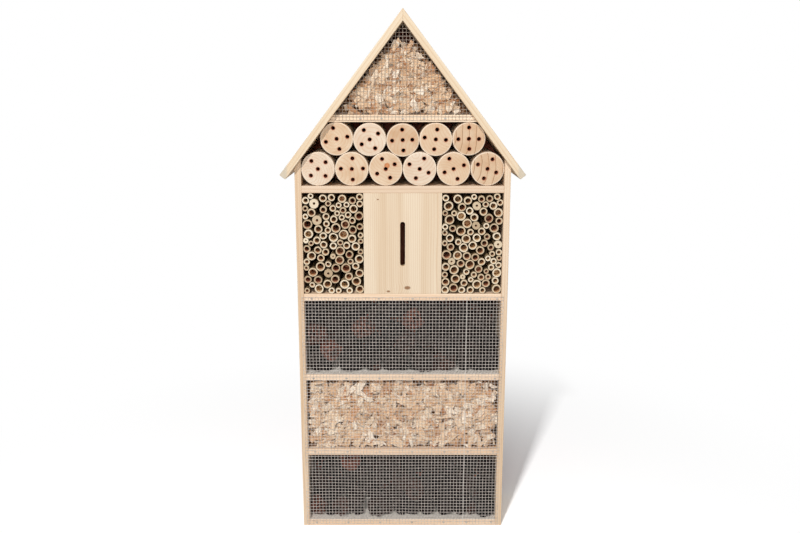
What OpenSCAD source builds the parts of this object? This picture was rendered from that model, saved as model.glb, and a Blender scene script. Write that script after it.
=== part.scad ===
// Insect hotel: a tall, narrow timber house with bays of logs, bamboo, pine cones and wood chips.
// +Z is up and the front faces -Y. The origin is on the ground, under the middle of the roof.

/* [House body] */
// Width over the two side boards
body_w = 398; // [340:1:460]
// Thickness of the side boards
side_t = 12; // [8:0.5:18]
// Thickness of the bottom board and the shelves
shelf_t = 13; // [10:0.5:18]
// Thickness of the plywood back panel
back_t = 4; // [3:0.5:8]

/* [Bay heights] */
// Clear height of the lower pine cone bay
lower_cone_h = 140; // [100:1:200]
// Clear height of the wood chip bay
chip_h = 143; // [100:1:200]
// Clear height of the upper pine cone bay
upper_cone_h = 147; // [100:1:200]
// Clear height of the bamboo bay
bamboo_h = 192; // [140:1:260]

/* [Roof] */
// Thickness of the roof boards
roof_t = 13; // [9:0.5:18]
// Slope of the roof from level, in degrees
roof_slope = 52.4; // [46:0.1:58]
// Length of the roof from front to back
roof_depth = 150; // [120:1:220]
// How far the roof stands out in front of the body
roof_overhang = 12; // [4:1:30]
// How far the eaves reach past the side boards
eave_reach = 26; // [10:1:50]

/* [Butterfly box] */
// Width of the slotted front board
butterfly_w = 146; // [100:1:180]
// Thickness of the slotted front board
butterfly_t = 12; // [8:0.5:18]
// Thickness of the partitions behind it
partition_t = 9; // [6:0.5:15]
// Width of the slot
slot_w = 9; // [6:0.5:14]
// Height of the slot
slot_h = 84; // [40:1:120]

/* [Logs] */
// Gap between neighbouring logs of the lower row
log_gap = 0.8; // [0.4:0.1:3]
// Diameter of the logs in the upper row
upper_log_d = 60; // [54:0.5:62]
// Diameter of the drilled holes
log_hole_d = 7.2; // [6:0.1:10]
// Depth of the drilled holes
log_hole_depth = 90; // [40:1:100]
// Distance of the outer holes from the middle of the log
log_hole_ring = 19; // [14:0.5:22]
// How far the hand-drilled holes stray
hole_stray = 1.5; // [0:0.1:2.5]
// Chamfer around the ends of the logs
log_chamfer = 1; // [0.5:0.1:2]
// How far the logs stand back from the front
log_setback = 2; // [0:0.5:10]

/* [Bamboo] */
// Diameter of the thinnest canes
cane_d_min = 10.5; // [9:0.5:13]
// Diameter of the thickest canes
cane_d_max = 18.5; // [14:0.5:24]
// Wall of the canes
cane_wall = 2.6; // [1.5:0.1:3.2]
// Bore of the nearly solid canes
pith_bore = 3; // [2:0.5:4]
// How far the longest canes stand back from the front
cane_setback = 1; // [0:0.5:6]
// How much the fronts of the canes differ
cane_uneven = 3; // [0:0.5:6]

/* [Wire mesh] */
// Diameter of the wire
wire_d = 0.8; // [0.6:0.1:1.2]
// Pitch of the wires
mesh_pitch = 6.4; // [5:0.1:9]
// How far the mesh laps over the front edges of the side boards
mesh_lap = 5; // [2:0.5:8]
// Height of the lowest wire above the ground
mesh_foot = 4; // [1:0.5:6]
// How far the mesh laps up the front of the bamboo shelf
mesh_head_lap = 7; // [4:0.5:9]
// Width of the narrow strip on the right
strip_w = 70; // [40:1:120]
// Height of the lowest gable wire above the underside of its shelf
gable_mesh_foot = 3; // [1:0.5:6]

/* [Pine cones] */
// Diameter of the smallest cones
cone_d_min = 34; // [28:1:38]
// Diameter of the largest cones
cone_d_max = 42; // [38:1:50]
// Depth of the overlap between two tiers of scales
scale_depth = 4.5; // [2:0.5:7]
// How far the cones stand back from the mesh
cone_setback = 6; // [2:1:20]

/* [Wood chips] */
// Longest reach of a chip from its middle
chip_reach = 14; // [9:0.5:18]
// Thickness of a chip
chip_t = 2; // [1.2:0.1:3]
// How far the chips stand back from the mesh
chip_setback = 3; // [1:0.5:10]
// Height of the chips in the gable
gable_fill_h = 128; // [90:1:140]

/* [Fasteners] */
// Diameter of the nail heads
nail_head_d = 4.5; // [3:0.1:6]
// Thickness of the nail heads
nail_head_t = 0.8; // [0.5:0.1:1.2]
// Diameter of the nail shanks
nail_d = 1.8; // [1.2:0.1:2.4]
// How far the nails of the shelves go into them
shelf_nail_bite = 18; // [10:1:30]
// How far the nails of the roof and the back panel go into the wood under them
short_nail_bite = 9; // [5:0.5:10]
// Distance of the nails from the front and back edges
nail_inset = 22; // [12:1:40]
// Thickness of the staples' flat wire
staple_t = 0.6; // [0.4:0.1:0.8]
// Height of the staples' flat wire
staple_h = 1.2; // [0.8:0.1:1.6]
// Width of the staples
staple_w = 4.6; // [3.6:0.1:5]
// How far the staples go into the wood
staple_bite = 6; // [3:0.5:10]

/* [Fits] */
// Gap at which loose pieces lie on each other
seat_gap = 0.3; // [0.1:0.05:0.5]
// Gap between crossing wires, and between a fastener and its hole
wire_gap = 0.05; // [0.02:0.01:0.1]

/* [Hidden] */
$fn = 48;

// Colours
fir = [0.93, 0.82, 0.66];
fir_edge = [0.86, 0.72, 0.54];
plywood = [0.42, 0.22, 0.15];
log_wood = [0.9, 0.77, 0.62];
bamboo = [0.84, 0.75, 0.55];
steel = [0.7, 0.7, 0.69];
cone_brown = [0.33, 0.24, 0.2];
chip_wood = [0.83, 0.68, 0.47];
chip_shade = [0.6, 0.45, 0.28];

// Main planes of the body
inner_w = body_w - 2 * side_t;
front_y = -roof_depth / 2 + roof_overhang;
back_y = roof_depth / 2;
inside_back_y = back_y - back_t;
shelf_d = inside_back_y - front_y;

// Undersides of the shelves, from the ground up
lower_shelf_z = shelf_t + lower_cone_h;
middle_shelf_z = lower_shelf_z + shelf_t + chip_h;
bamboo_shelf_z = middle_shelf_z + shelf_t + upper_cone_h;
log_shelf_z = bamboo_shelf_z + shelf_t + bamboo_h;
side_shelf_zs = [0, lower_shelf_z, middle_shelf_z, bamboo_shelf_z, log_shelf_z];
mesh_shelf_zs = [0, lower_shelf_z, middle_shelf_z, bamboo_shelf_z];

// Logs: the lower row fills the width, and each upper log lies on the nearest lower ones
lower_logs = 6;
upper_logs = 5;
lower_log_step = inner_w / lower_logs;
lower_log_d = lower_log_step - log_gap;
lower_log_z = log_shelf_z + shelf_t + seat_gap + lower_log_d / 2;
upper_log_step = upper_log_d + seat_gap;
log_len = shelf_d - log_setback - seat_gap;
lower_turns = [42, 0, 25, -22, 22, -24];
upper_turns = [16, 32, 1, -7, 0];
outer_holes = 4;
function lower_log_x(i) = (i - (lower_logs - 1) / 2) * lower_log_step;
function upper_log_x(i) = (i - (upper_logs - 1) / 2) * upper_log_step;
function upper_log_z(i) =
  let (touch = (lower_log_d + upper_log_d) / 2 + seat_gap)
  max([for (k = [0:lower_logs - 1]) let (dx = upper_log_x(i) - lower_log_x(k))
    if (abs(dx) < touch) lower_log_z + sqrt(touch * touch - dx * dx)]);

// Roof: its underside just clears the outermost logs
function ridge_over(x, z, d) =
  z + abs(x) * tan(roof_slope) + (d / 2 + seat_gap) / cos(roof_slope);
inner_ridge_z = max([
  for (i = [0:upper_logs - 1]) ridge_over(upper_log_x(i), upper_log_z(i), upper_log_d),
  for (i = [0:lower_logs - 1]) ridge_over(lower_log_x(i), lower_log_z, lower_log_d)]);
ridge_z = inner_ridge_z + roof_t / cos(roof_slope);
eave_x = body_w / 2 + eave_reach;
function roof_under(x) = inner_ridge_z - abs(x) * tan(roof_slope);

// Gable: its shelf lies on the highest log
gable_shelf_z = max([for (i = [0:upper_logs - 1]) upper_log_z(i)]) + upper_log_d / 2 + seat_gap;
gable_floor = gable_shelf_z + shelf_t;
function gable_half(z) = (inner_ridge_z - z) / tan(roof_slope);

// Bamboo bays
bamboo_floor = bamboo_shelf_z + shelf_t;
cane_bay_w = (inner_w - butterfly_w) / 2;
cane_bay_x = butterfly_w / 2 + cane_bay_w / 2;
courses = 6;
course_h = bamboo_h / courses;
pith_every = 15;
cane_tries = 14;
left_cane_seed = 11;
right_cane_seed = 27;

// Mesh: the wires that stand upright lie on the wood, and the level ones lie on those
mesh_half = inner_w / 2 + mesh_lap;
mesh_top = bamboo_shelf_z + mesh_head_lap;
seam_x = mesh_half - strip_w;
upright_y = front_y - wire_gap - wire_d / 2;
level_y = upright_y - wire_gap - wire_d;
level_wires = round((mesh_top - mesh_foot) / mesh_pitch) + 1;
level_pitch = (mesh_top - mesh_foot) / (level_wires - 1);
main_cells = round((seam_x + mesh_half - wire_d) / mesh_pitch);
strip_cells = round((strip_w - wire_d) / mesh_pitch);
main_pitch = (seam_x + mesh_half - wire_d) / main_cells;
strip_pitch = (strip_w - wire_d) / strip_cells;
function main_wire_x(i) = -mesh_half + wire_gap + i * main_pitch;
function strip_wire_x(i) = seam_x + wire_gap + wire_d / 2 + i * strip_pitch;

// Gable mesh: every wire ends just short of the roof
gable_wire_foot = gable_shelf_z + gable_mesh_foot;
gable_wire_ridge = inner_ridge_z - wire_d * (1 + tan(roof_slope)) / 2 - seat_gap;
gable_wires = floor((gable_wire_ridge - gable_wire_foot - mesh_pitch) / tan(roof_slope) / mesh_pitch);
gable_levels = floor((gable_wire_ridge - gable_wire_foot - mesh_pitch) / mesh_pitch);

// Staples sit in the mesh cell nearest to the middle of each shelf front
staple_first = 3;
staple_step = 10;
gable_staples_aside = 2;
gable_staple_step = floor(gable_wires / (gable_staples_aside + 1));
crown_y = upright_y - wire_d / 2 - wire_gap - staple_t;
staple_tip_y = front_y + staple_bite;
function staple_z(shelf_z) =
  let (cell = round((shelf_z + shelf_t / 2 - mesh_foot) / level_pitch - 0.5))
  mesh_foot + (cell + 0.5) * level_pitch;
gable_staple_z = gable_wire_foot + mesh_pitch / 2;
staple_xs = concat(
  [for (i = [staple_first:staple_step:main_cells - 2]) main_wire_x(i)],
  [for (i = [1, strip_cells - 2]) strip_wire_x(i)]);
gable_staple_xs = [for (i = [-gable_staples_aside:gable_staples_aside]) i * gable_staple_step * mesh_pitch];

// Cones stand in three layers, one behind the other
layer_names = ["front", "middle", "back"];
cone_layers = len(layer_names);
cone_pitch_y = (shelf_d - cone_setback) / cone_layers;
cone_len = cone_pitch_y - seat_gap;
cone_tries = 16;
lower_cone_seeds = [3, 14, 25];
upper_cone_seeds = [36, 47, 58];

// A cone's tiers of scales, as shares of its length and of one tier
cone_tiers = 6;
cone_widest = 0.34;
cone_taper = 0.7;
scale_tip = 0.7;
cone_core = 1 / 6;

// Chips lie flat on five levels, so that neighbours overlap and none cross.
// The last chip of the top row lies on the deepest level, and each other one leans on a neighbour.
chip_levels = 5;
chip_corners = 7;
chip_slim = 0.72;
chip_rough = 0.85;
chip_row = 0.93;
chip_step_x = chip_reach;
chip_step_z = chip_reach * chip_row;
chip_front_y = front_y + chip_setback;
chip_fill_y = chip_front_y + chip_levels * (chip_t + wire_gap);
chip_margin = chip_reach + seat_gap;
function chip_level(i, j, last_i, last_j) =
  let (n = i - last_i + 2 * (j - last_j) - 1)
  n - chip_levels * floor(n / chip_levels);
middle_floor = lower_shelf_z + shelf_t;
middle_chip_seed = 71;
gable_chip_seed = 83;

// Nails
gable_nail_rise = 0.6;
nail_ys = [front_y + nail_inset, (front_y + inside_back_y) / 2, inside_back_y - nail_inset];
side_nail_zs = [for (z = side_shelf_zs) z + shelf_t / 2];
roof_side_x = body_w / 2 - side_t / 4;
roof_gable_z = gable_shelf_z + shelf_t * gable_nail_rise;
back_nail_zs = [for (z = side_shelf_zs) each [z + shelf_t / 2, z + shelf_t + lower_cone_h / 2]];
back_nail_xs = [-inner_w / 3, 0, inner_w / 3];

// How far a cut runs past the face it starts from
cut_past = 1;

// Steps between the seeds of neighbouring draws
bay_seed_step = 1000;
chip_seed_step = 100;

// Circles dropped one by one into a bay: each takes the lowest of some tried places.
// A placed circle is [x from the bay's left wall, z above its floor, radius].
function resting_z(x, r, placed) =
  max([r + seat_gap, for (c = placed)
    let (dx = x - c[0], touch = r + c[2] + seat_gap)
    if (abs(dx) < touch) c[1] + sqrt(touch * touch - dx * dx)]);
function lowest_place(r, placed, w, xs) =
  let (
    room = w - 2 * (r + seat_gap),
    places = [for (f = xs) let (x = r + seat_gap + f * room) [x, resting_z(x, r, placed)]],
    low = min([for (p = places) p[1]]))
  [for (p = places) if (p[1] == low) p][0];
function filled(radii, w, h, seed, tries, i = 0, placed = []) =
  i == len(radii) ? placed :
  let (
    r = radii[i],
    place = lowest_place(r, placed, w, concat([0, 1], rands(0, 1, tries, seed + i))),
    fits = place[1] + r + seat_gap <= h)
  filled(radii, w, h, seed, tries, i + 1,
    fits ? concat(placed, [[place[0], place[1], r]]) : placed);
function circles_in(w, h, d_min, d_max, seed, tries) =
  let (most = ceil(w * h / (d_min * d_min)))
  filled(rands(d_min / 2, d_max / 2, most, seed), w, h, bay_seed_step * seed, tries);

// An outline in X and Z, pushed from y0 back to y1
module upright(y0, y1) {
  translate([0, y1, 0])
    rotate([90, 0, 0])
      linear_extrude(y1 - y0)
        children();
}

// A nail with its head's face at the origin, pointing down
module nail(cover, bite, grow = 0) {
  translate([0, 0, -nail_head_t - grow])
    cylinder(h = nail_head_t + grow, d = nail_head_d + 2 * grow);
  translate([0, 0, -cover - bite - grow])
    cylinder(h = cover + bite - nail_head_t, d = nail_d + 2 * grow);
}

module shelf_nail_set(zs, grow = 0) {
  for (side = [-1, 1], y = nail_ys, z = zs)
    translate([side * body_w / 2, y, z])
      rotate([0, side * 90, 0])
        nail(side_t, shelf_nail_bite, grow);
}

module roof_nail_set(grow = 0) {
  out = [sin(roof_slope), cos(roof_slope)] * roof_t;
  feet = [[roof_side_x, roof_under(roof_side_x)], [gable_half(roof_gable_z), roof_gable_z]];
  for (side = [-1, 1], y = nail_ys, foot = feet)
    translate([side * (foot[0] + out[0]), y, foot[1] + out[1]])
      rotate([0, side * roof_slope, 0])
        nail(roof_t, short_nail_bite, grow);
}

module back_nail_set(grow = 0) {
  for (z = side_nail_zs, x = back_nail_xs)
    back_nail(x, z, grow);
  for (z = back_nail_zs, side = [-1, 1])
    if (z < roof_under(body_w / 2) - nail_head_d)
      back_nail(side * (body_w - side_t) / 2, z, grow);
}

module back_nail(x, z, grow) {
  translate([x, back_y, z])
    rotate([-90, 0, 0])
      nail(back_t, short_nail_bite, grow);
}

// Room in the wood for the legs of the staples
module staple_holes(xs, z) {
  for (x = xs, side = [-1, 1])
    translate([x + side * (staple_w - staple_t) / 2, front_y, z])
      cube([staple_t + 2 * wire_gap, 2 * (staple_bite + wire_gap), staple_h + 2 * wire_gap], center = true);
}

// Staples that each straddle one upright wire
module staples(xs, z) {
  leg = staple_w / 2 - staple_t;
  for (x = xs)
    translate([x, 0, z - staple_h / 2])
      linear_extrude(staple_h)
        polygon([
          [-staple_w / 2, crown_y], [staple_w / 2, crown_y],
          [staple_w / 2, staple_tip_y], [leg, staple_tip_y],
          [leg, crown_y + staple_t], [-leg, crown_y + staple_t],
          [-leg, staple_tip_y], [-staple_w / 2, staple_tip_y]
        ]);
}

// Boards
module side_board(side) {
  outer = body_w / 2;
  inner = inner_w / 2;
  color(fir_edge)
    difference() {
      upright(front_y, inside_back_y)
        polygon([
          [side * outer, 0], [side * inner, 0],
          [side * inner, roof_under(inner)], [side * outer, roof_under(outer)]
        ]);
      shelf_nail_set(side_nail_zs, wire_gap);
      roof_nail_set(wire_gap);
      back_nail_set(wire_gap);
    }
}

module shelf(z, stapled_xs) {
  color(fir)
    difference() {
      translate([-inner_w / 2, front_y, z])
        cube([inner_w, shelf_d, shelf_t]);
      shelf_nail_set([z + shelf_t / 2], wire_gap);
      for (x = back_nail_xs)
        back_nail(x, z + shelf_t / 2, wire_gap);
      staple_holes(stapled_xs, staple_z(z));
    }
}

module gable_shelf() {
  low = gable_half(gable_shelf_z);
  high = gable_half(gable_floor);
  color(fir)
    difference() {
      upright(front_y, inside_back_y)
        polygon([[-low, gable_shelf_z], [low, gable_shelf_z], [high, gable_floor], [-high, gable_floor]]);
      roof_nail_set(wire_gap);
      staple_holes(gable_staple_xs, gable_staple_z);
    }
}

module roof_board(side) {
  eave_z = ridge_z - eave_x * tan(roof_slope);
  color(fir)
    difference() {
      upright(-roof_depth / 2, roof_depth / 2)
        polygon([
          [0, ridge_z], [side * eave_x, eave_z],
          [side * (eave_x - roof_t * sin(roof_slope)), eave_z - roof_t * cos(roof_slope)],
          [0, inner_ridge_z]
        ]);
      roof_nail_set(wire_gap);
    }
}

module back_panel() {
  shoulder = roof_under(body_w / 2);
  color(plywood)
    difference() {
      upright(inside_back_y, back_y)
        polygon([
          [-body_w / 2, 0], [body_w / 2, 0], [body_w / 2, shoulder],
          [0, inner_ridge_z], [-body_w / 2, shoulder]
        ]);
      back_nail_set(wire_gap);
    }
}

module butterfly_front() {
  straight = slot_h - slot_w;
  color(fir)
    difference() {
      translate([-butterfly_w / 2, front_y, bamboo_floor])
        cube([butterfly_w, butterfly_t, bamboo_h]);
      translate([0, front_y - cut_past, bamboo_floor + bamboo_h / 2]) {
        translate([-slot_w / 2, 0, -straight / 2])
          cube([slot_w, butterfly_t + 2 * cut_past, straight]);
        for (end = [-1, 1])
          translate([0, 0, end * straight / 2])
            rotate([-90, 0, 0])
              cylinder(h = butterfly_t + 2 * cut_past, d = slot_w);
      }
    }
}

module partition(side) {
  color(fir)
    translate([side * (butterfly_w - partition_t) / 2 - partition_t / 2, front_y + butterfly_t, bamboo_floor])
      cube([partition_t, shelf_d - butterfly_t, bamboo_h]);
}

// Fillings
module drilled_log(x, z, d, turn, seed) {
  r = d / 2;
  stray = rands(-hole_stray, hole_stray, 2 * outer_holes, seed);
  color(log_wood)
    translate([x, front_y + log_setback, z])
      rotate([-90, 0, 0])
        difference() {
          rotate_extrude()
            polygon([
              [0, 0], [r - log_chamfer, 0], [r, log_chamfer],
              [r, log_len - log_chamfer], [r - log_chamfer, log_len], [0, log_len]
            ]);
          translate([0, 0, -cut_past])
            cylinder(h = log_hole_depth + cut_past, d = log_hole_d);
          for (k = [0:outer_holes - 1]) {
            angle = -turn - k * 360 / outer_holes;
            translate([
              log_hole_ring * cos(angle) + stray[k],
              log_hole_ring * sin(angle) + stray[k + outer_holes], -cut_past
            ])
              cylinder(h = log_hole_depth + cut_past, d = log_hole_d);
          }
        }
}

module cane_course(side, seed, course) {
  canes = circles_in(cane_bay_w, bamboo_h, cane_d_min, cane_d_max, seed, cane_tries);
  fronts = rands(0, cane_uneven, len(canes), seed + 1);
  color(bamboo)
    for (i = [0:len(canes) - 1])
      if (floor(canes[i][1] / course_h) == course)
        translate([side * cane_bay_x - cane_bay_w / 2 + canes[i][0], front_y, bamboo_floor + canes[i][1]])
          cane(canes[i][2], cane_setback + fronts[i], i % pith_every == pith_every - 1);
}

module cane(r, setback, pithy) {
  cane_len = shelf_d - setback - seat_gap;
  translate([0, setback, 0])
    rotate([-90, 0, 0])
      difference() {
        cylinder(h = cane_len, r = r);
        translate([0, 0, -cut_past])
          cylinder(h = cane_len + 2 * cut_past, r = pithy ? pith_bore / 2 : r - cane_wall);
      }
}

// A cone stands base first: tiers of scales that swell, then close at the tip
module pine_cone(r) {
  tier = cone_len / cone_tiers;
  function swell(t) = r * sqrt(1 - pow((t - cone_widest) / cone_taper, 2));
  color(cone_brown)
    rotate([-90, 0, 0])
      rotate_extrude($fn = 24)
        polygon(concat(
          [[0, 0]],
          [for (k = [0:cone_tiers - 1]) let (edge = swell((k + scale_tip) / cone_tiers)) each [
            [max(edge - scale_depth, r * cone_core), k * tier], [edge, (k + scale_tip) * tier]
          ]],
          [[0, cone_len]]));
}

module cone_layer(floor_z, h, seed, layer) {
  y = front_y + cone_setback + layer * cone_pitch_y;
  for (c = circles_in(inner_w, h, cone_d_min, cone_d_max, seed, cone_tries))
    translate([c[0] - inner_w / 2, y, floor_z + c[1]])
      pine_cone(c[2]);
}

module chip(x, z, level, seed) {
  rough = rands(chip_rough, 1, chip_corners, seed);
  turn = rands(0, 180, 1, seed)[0];
  translate([x, chip_front_y + level * (chip_t + wire_gap), z])
    upright(0, chip_t)
      rotate(turn)
        polygon([for (k = [0:chip_corners - 1])
          let (a = 360 * k / chip_corners)
          chip_reach * rough[k] * [cos(a), chip_slim * sin(a)]]);
}

module middle_chips() {
  room_x = inner_w / 2 - chip_margin;
  room_z = chip_h - 2 * chip_margin;
  across = floor(room_x / chip_step_x);
  up = floor(room_z / chip_step_z);
  color(chip_wood)
    for (i = [-across:across], j = [0:up])
      chip(i * room_x / across, middle_floor + chip_margin + j * room_z / up,
        chip_level(i, j, across, up), middle_chip_seed + chip_seed_step * i + j);
}

module middle_chip_fill() {
  color(chip_shade)
    translate([-inner_w / 2, chip_fill_y, middle_floor])
      cube([inner_w, inside_back_y - chip_fill_y, chip_h - seat_gap]);
}

module gable_chips() {
  up = floor((gable_fill_h - 2 * chip_margin) / chip_step_z);
  function row_z(j) = gable_floor + chip_margin + j * chip_step_z;
  function across(j) = floor((gable_half(row_z(j)) - chip_margin / sin(roof_slope)) / chip_step_x);
  color(chip_wood)
    for (j = [0:up], i = [-across(j):across(j)])
      chip(i * chip_step_x, row_z(j), chip_level(i, j, across(up), up),
        gable_chip_seed + chip_seed_step * i + j);
}

module gable_chip_fill() {
  low = gable_half(gable_floor) - seat_gap;
  high = gable_half(gable_floor + gable_fill_h) - seat_gap;
  color(chip_shade)
    upright(chip_fill_y, inside_back_y)
      polygon([
        [-low, gable_floor], [low, gable_floor],
        [high, gable_floor + gable_fill_h], [-high, gable_floor + gable_fill_h]
      ]);
}

// Wire mesh and fasteners
module wire(from, along, length) {
  translate(from)
    rotate(along == "x" ? [0, 90, 0] : [0, 0, 0])
      cylinder(h = length, d = wire_d, $fn = 16);
}

module lower_mesh() {
  color(steel) {
    for (i = [0:main_cells])
      wire([main_wire_x(i), upright_y, mesh_foot - wire_d / 2], "z", mesh_top - mesh_foot + wire_d);
    for (k = [0:level_wires - 1])
      wire([-mesh_half, level_y, mesh_foot + k * level_pitch], "x", seam_x + mesh_half - wire_gap);
  }
}

module mesh_strip() {
  color(steel) {
    for (i = [0:strip_cells])
      wire([strip_wire_x(i), upright_y, mesh_foot - wire_d / 2], "z", mesh_top - mesh_foot + wire_d);
    for (k = [0:level_wires - 1])
      wire([seam_x + wire_gap, level_y, mesh_foot + k * level_pitch], "x", strip_w);
  }
}

module gable_mesh() {
  color(steel) {
    for (i = [-gable_wires:gable_wires])
      wire([i * mesh_pitch, upright_y, gable_wire_foot - wire_d / 2], "z",
        gable_wire_ridge - abs(i) * mesh_pitch * tan(roof_slope) - gable_wire_foot);
    for (k = [0:gable_levels]) {
      z = gable_wire_foot + k * mesh_pitch;
      half = (gable_wire_ridge - z) / tan(roof_slope);
      wire([-half, level_y, z], "x", 2 * half);
    }
  }
}

module mesh_staples() {
  color(steel) {
    for (z = mesh_shelf_zs)
      staples(staple_xs, staple_z(z));
    staples(gable_staple_xs, gable_staple_z);
  }
}

side_board(-1);  // left_side_board
side_board(1);  // right_side_board
shelf(0, staple_xs);  // bottom_board
shelf(lower_shelf_z, staple_xs);  // lower_shelf
shelf(middle_shelf_z, staple_xs);  // middle_shelf
shelf(bamboo_shelf_z, staple_xs);  // bamboo_shelf
shelf(log_shelf_z, []);  // log_shelf
gable_shelf();
roof_board(-1);  // left_roof_board
roof_board(1);  // right_roof_board
back_panel();
butterfly_front();
partition(-1);  // left_partition
partition(1);  // right_partition
for (i = [0:lower_logs - 1])
  drilled_log(lower_log_x(i), lower_log_z, lower_log_d, lower_turns[i], i);
for (i = [0:upper_logs - 1])
  drilled_log(upper_log_x(i), upper_log_z(i), upper_log_d, upper_turns[i], lower_logs + i);
for (c = [0:courses - 1])
  cane_course(-1, left_cane_seed, c);
for (c = [0:courses - 1])
  cane_course(1, right_cane_seed, c);
lower_mesh();
mesh_strip();
gable_mesh();
mesh_staples();
for (k = [0:cone_layers - 1])
  cone_layer(shelf_t, lower_cone_h, lower_cone_seeds[k], k);
for (k = [0:cone_layers - 1])
  cone_layer(middle_shelf_z + shelf_t, upper_cone_h, upper_cone_seeds[k], k);
middle_chips();
middle_chip_fill();
gable_chips();
gable_chip_fill();
color(steel) shelf_nail_set(side_nail_zs);  // shelf_nails
color(steel) roof_nail_set();  // roof_nails
color(steel) back_nail_set();  // back_nails
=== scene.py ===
"""Looks of an insect hotel: fir boards, drilled logs, bamboo, cones and wood chips behind wire mesh."""
import functools
import math
import random

import bmesh
import bpy
from mathutils import Euler, Matrix, Vector, noise


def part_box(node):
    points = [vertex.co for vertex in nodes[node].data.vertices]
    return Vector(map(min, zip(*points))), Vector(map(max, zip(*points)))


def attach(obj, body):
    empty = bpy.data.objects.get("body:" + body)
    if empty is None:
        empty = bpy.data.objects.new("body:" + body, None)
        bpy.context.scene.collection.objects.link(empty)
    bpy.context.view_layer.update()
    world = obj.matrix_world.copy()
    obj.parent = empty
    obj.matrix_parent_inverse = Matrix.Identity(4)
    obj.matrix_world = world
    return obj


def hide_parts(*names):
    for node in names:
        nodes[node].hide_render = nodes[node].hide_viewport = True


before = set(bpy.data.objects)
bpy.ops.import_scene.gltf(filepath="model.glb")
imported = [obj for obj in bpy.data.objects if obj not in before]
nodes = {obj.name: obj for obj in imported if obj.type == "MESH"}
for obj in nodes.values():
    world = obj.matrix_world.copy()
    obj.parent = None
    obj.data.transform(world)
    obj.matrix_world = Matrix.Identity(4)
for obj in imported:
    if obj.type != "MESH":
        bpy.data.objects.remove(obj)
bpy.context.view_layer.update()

MM = 0.001
WELD = 0.002 * MM
SHARP = math.radians(35)
FLAT = math.radians(0.5)

SIDES = ("left", "right")
SHELVES = ["bottom_board", "lower_shelf", "middle_shelf", "bamboo_shelf", "log_shelf", "gable_shelf"]
CANE_COURSES = [f"canes_{side}_{row}" for side in SIDES for row in range(1, 7)]
LOGS = [f"log_lower_{i}" for i in range(1, 7)] + [f"log_upper_{i}" for i in range(1, 6)]

# The body's planes and the roof's slope, read from the frame
shelf_boxes = [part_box(shelf) for shelf in SHELVES]
panel_low, panel_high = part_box("back_panel")
front_y = shelf_boxes[0][0].y
inner_half = shelf_boxes[0][1].x
inner_back = panel_low.y
inner_ridge = panel_high.z
chip_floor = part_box("lower_shelf")[1].z
chip_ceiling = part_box("middle_shelf")[0].z
gable_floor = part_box("gable_shelf")[1].z
side_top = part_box("left_side_board")[1].z
roof_turn = math.atan2(inner_ridge - side_top, inner_half)
eave_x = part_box("right_roof_board")[1].x
seam_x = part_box("mesh_strip")[0].x


def rgb(red, green, blue):
    """A colour in screen steps of 0 to 255, as linear light."""
    steps = [step / 255 for step in (red, green, blue)]
    return tuple(s / 12.92 if s <= 0.04045 else ((s + 0.055) / 1.055) ** 2.4 for s in steps) + (1.0,)


def span(corners):
    """Lowest and highest corner of some points."""
    low = Vector([min(c[k] for c in corners) for k in range(3)])
    high = Vector([max(c[k] for c in corners) for k in range(3)])
    return low, high


# Shader nodes

class Signal:
    """An output of a shader node. Arithmetic on it adds Math nodes."""

    def __init__(self, shading, socket):
        self.shading = shading
        self.socket = socket

    def maths(self, operation, *others):
        return self.shading.maths(operation, self, *others)

    def __add__(self, other):
        return self.maths("ADD", other)

    def __sub__(self, other):
        return self.maths("SUBTRACT", other)

    def __rsub__(self, other):
        return self.shading.maths("SUBTRACT", other, self)

    def __mul__(self, other):
        return self.maths("MULTIPLY", other)

    def __truediv__(self, other):
        return self.maths("DIVIDE", other)

    def __pow__(self, other):
        return self.maths("POWER", other)

    __radd__ = __add__
    __rmul__ = __mul__


def highest(signals):
    """The highest of some signals, point by point."""
    return functools.reduce(lambda one, other: one.maths("MAXIMUM", other), signals)


def lowest(signals):
    """The lowest of some signals, point by point."""
    return functools.reduce(lambda one, other: one.maths("MINIMUM", other), signals)


def set_stops(elements, stops):
    """Give a colour ramp its stops. A new ramp has two."""
    for place, _ in stops[2:]:
        elements.new(place)
    for element, (place, colour) in zip(elements, stops):
        element.position = place
        element.color = colour


class Shading:
    """A tree of shader nodes, built up node by node."""

    def __init__(self, tree):
        self.tree = tree

    def node(self, kind, settings=None, inputs=None, output=0):
        """Add a node, set it, feed its sockets and give one of its outputs."""
        made = self.tree.nodes.new("ShaderNode" + kind)
        for name, value in (settings or {}).items():
            if name == "stops":
                set_stops(made.color_ramp.elements, value)
            else:
                setattr(made, name, value)
        for name, value in (inputs or {}).items():
            if isinstance(value, Signal):
                self.tree.links.new(value.socket, made.inputs[name])
            else:
                made.inputs[name].default_value = value
        return Signal(self, made.outputs[output])

    def maths(self, operation, *terms):
        return self.node("Math", {"operation": operation}, dict(enumerate(terms)))


# A Mix node's sockets for colours
MIX_SHARE, MIX_UNDER, MIX_OVER, MIX_RESULT = 0, 6, 7, 2

# How far a pattern is shifted along each axis at most, in metres
PATTERN_DRIFT = 9


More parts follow.
